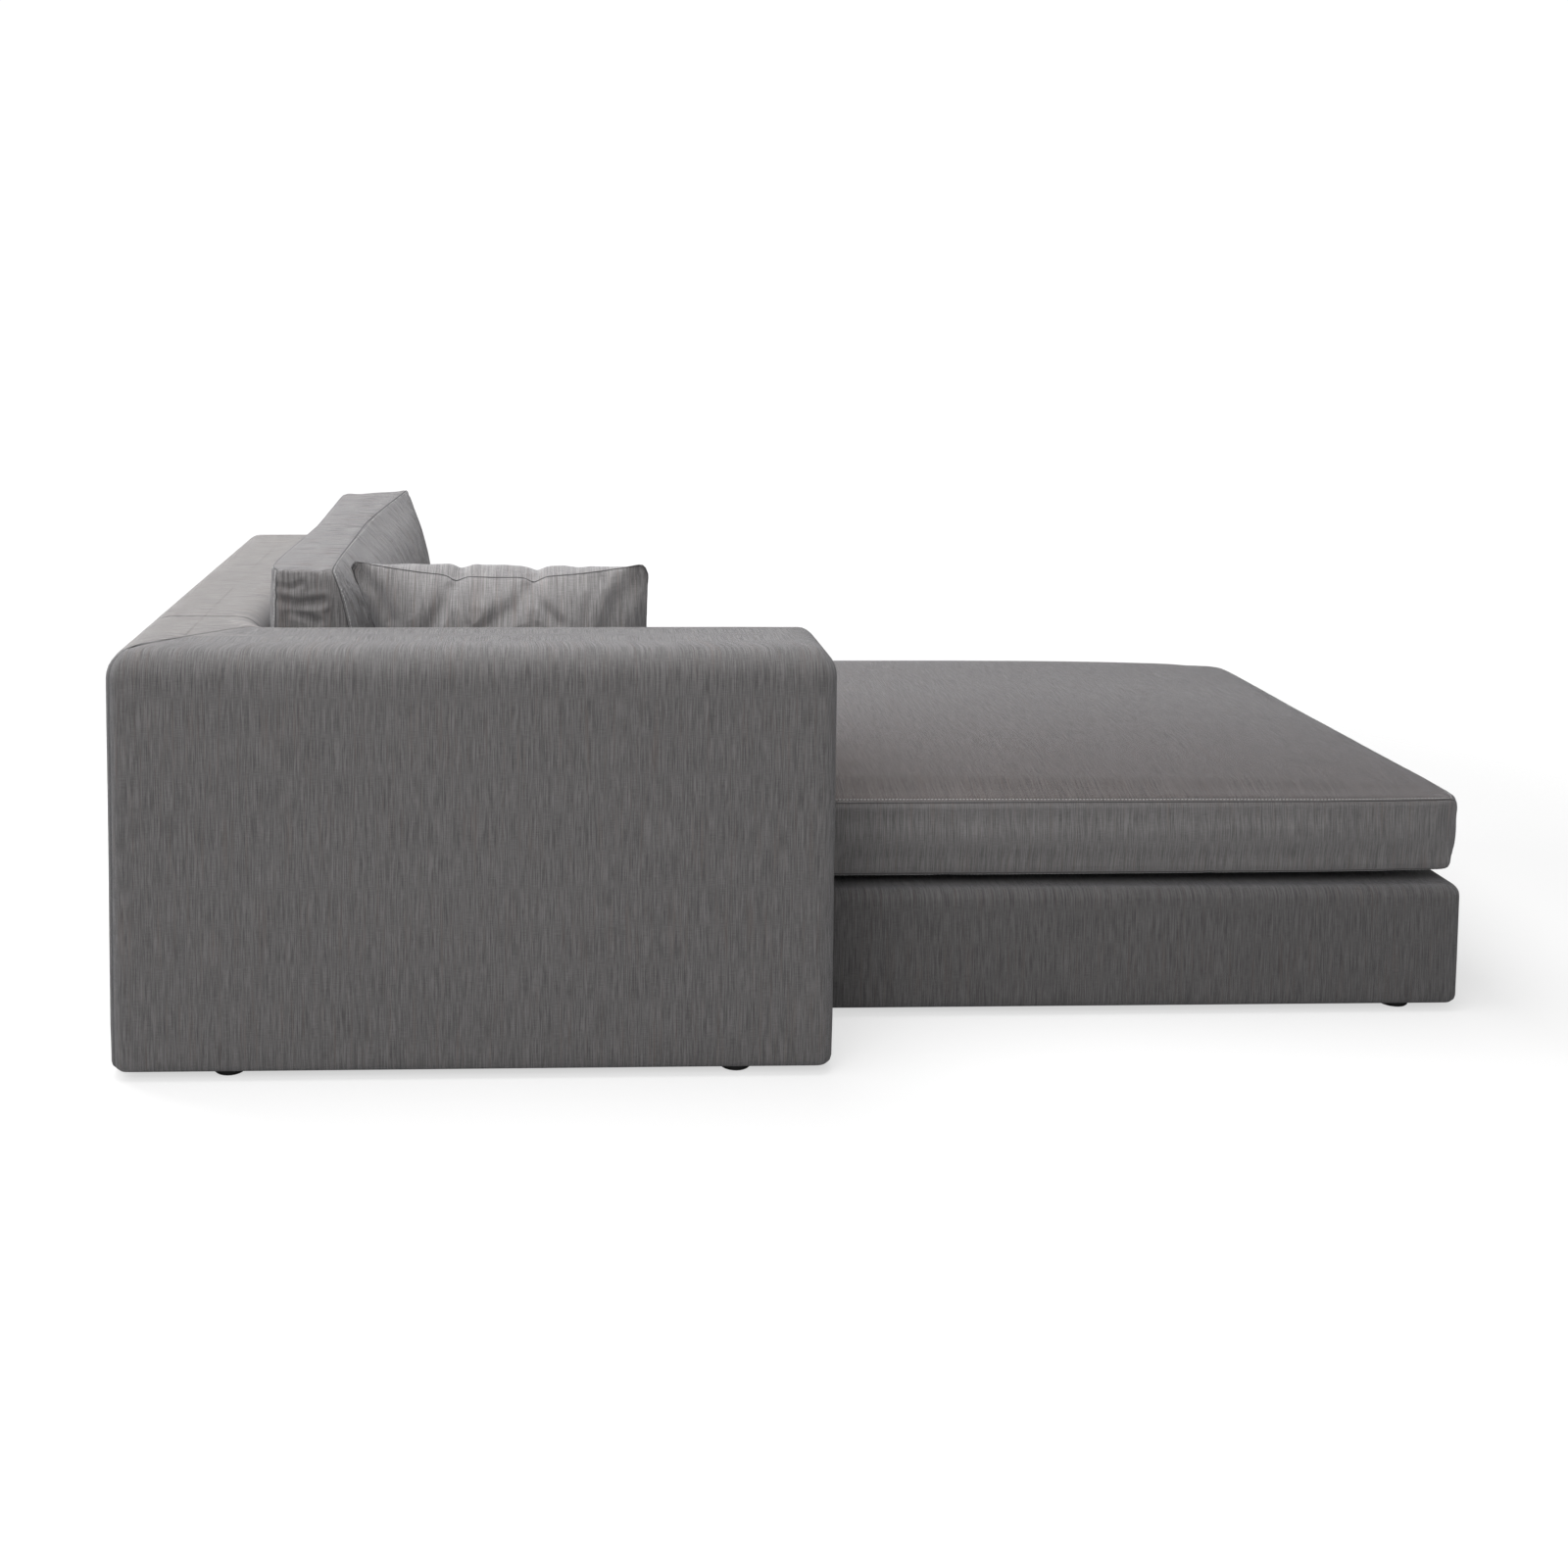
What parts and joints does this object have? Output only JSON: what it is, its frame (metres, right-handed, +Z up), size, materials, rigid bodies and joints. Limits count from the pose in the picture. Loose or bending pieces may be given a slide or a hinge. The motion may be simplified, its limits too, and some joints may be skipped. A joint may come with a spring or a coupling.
{
  "type": "upholstered daybed",
  "caption": "Low upholstered daybed with a long slab arm on one side, a mitred back, a boxed base, a loose boxed seat cushion, a boxed back cushion and a scatter cushion.",
  "frame": {"origin": "on the floor, under the middle of the daybed's length and width", "axes": "+X from the back at the head to the foot of the seat, +Y from the arm to the open side, +Z up"},
  "size_m": [2.09, 1.2, 0.7197],
  "materials": {
    "grey_fabric": "woven, with fine streaks and a soft sheen",
    "black_lining": "matt non-woven",
    "cream_foam": "open-cell foam",
    "pale_timber": "planed, unfinished",
    "plywood": "sanded, unfinished",
    "elastic_webbing": "woven band",
    "black_plastic": "moulded",
    "zinc_steel": "zinc plated",
    "zip_tape": "woven tape"
  },
  "bodies": {
    "frame": {"arm_cover": "grey_fabric", "arm_foam": "cream_foam", "arm_panel_outer": "plywood", "arm_panel_inner": "plywood", "arm_top_rail": "pale_timber", "arm_bottom_rail": "pale_timber", "arm_post_head": "pale_timber", "arm_post_foot": "pale_timber", "corner_cover": "grey_fabric", "back_cover": "grey_fabric", "back_foam": "cream_foam", "back_panel_outer": "plywood", "back_panel_inner": "plywood", "back_top_rail": "pale_timber", "back_bottom_rail": "pale_timber", "back_post_near": "pale_timber", "back_post_far": "pale_timber", "arm_back_dust_cover": "black_lining", "base_cover": "grey_fabric", "base_foam": "cream_foam", "base_dust_cover": "black_lining", "base_side_rail_near": "pale_timber", "base_side_rail_far": "pale_timber", "base_end_rail_head": "pale_timber", "base_end_rail_foot": "pale_timber", "base_cross_rail": "pale_timber", "base_corner_block_head_near": "pale_timber", "base_corner_block_head_far": "pale_timber", "base_corner_block_foot_near": "pale_timber", "base_corner_block_foot_far": "pale_timber", "web_across_1": "elastic_webbing", "web_across_2": "elastic_webbing", "web_across_3": "elastic_webbing", "web_across_4": "elastic_webbing", "web_across_5": "elastic_webbing", "web_across_6": "elastic_webbing", "web_along_1": "elastic_webbing", "web_along_2": "elastic_webbing", "arm_bolt_1": "zinc_steel", "arm_bolt_2": "zinc_steel", "back_bolt_1": "zinc_steel", "back_bolt_2": "zinc_steel", "corner_bolt": "zinc_steel", "glide_arm_head": "black_plastic", "glide_arm_foot": "black_plastic", "glide_back_far": "black_plastic", "glide_base_near": "black_plastic", "glide_base_far": "black_plastic", "glide_base_middle": "black_plastic"},
    "seat_cushion": {"seat_cushion_cover": "grey_fabric", "seat_cushion_core": "cream_foam", "seat_cushion_zip": "zip_tape"},
    "seat_cushion_slider": {"seat_cushion_zip_slider": "zinc_steel"},
    "back_cushion": {"back_cushion_cover": "grey_fabric", "back_cushion_fill": "cream_foam", "back_cushion_zip": "zip_tape"},
    "back_cushion_slider": {"back_cushion_zip_slider": "zinc_steel"},
    "scatter_cushion": {"scatter_cushion_cover": "grey_fabric", "scatter_cushion_fill": "cream_foam", "scatter_cushion_zip": "zip_tape"}
  },
  "joints": [
    {"name": "seat_cushion_lift", "type": "slide", "parent": "frame", "child": "seat_cushion", "axis": [0, 0, 1], "range_m": [0, 0.45]},
    {"name": "back_cushion_lift", "type": "slide", "parent": "seat_cushion", "child": "back_cushion", "axis": [0, 0, 1], "range_m": [0, 0.38]},
    {"name": "scatter_cushion_lift", "type": "slide", "parent": "back_cushion", "child": "scatter_cushion", "axis": [0, 0, 1], "range_m": [0, 0.38]},
    {"name": "seat_cushion_zip_run", "type": "slide", "parent": "seat_cushion", "child": "seat_cushion_slider", "axis": [0, 1, 0], "range_m": [0, 0.58]},
    {"name": "back_cushion_zip_run", "type": "slide", "parent": "back_cushion", "child": "back_cushion_slider", "axis": [0, 1, 0], "range_m": [0, 0.57]}
  ]
}
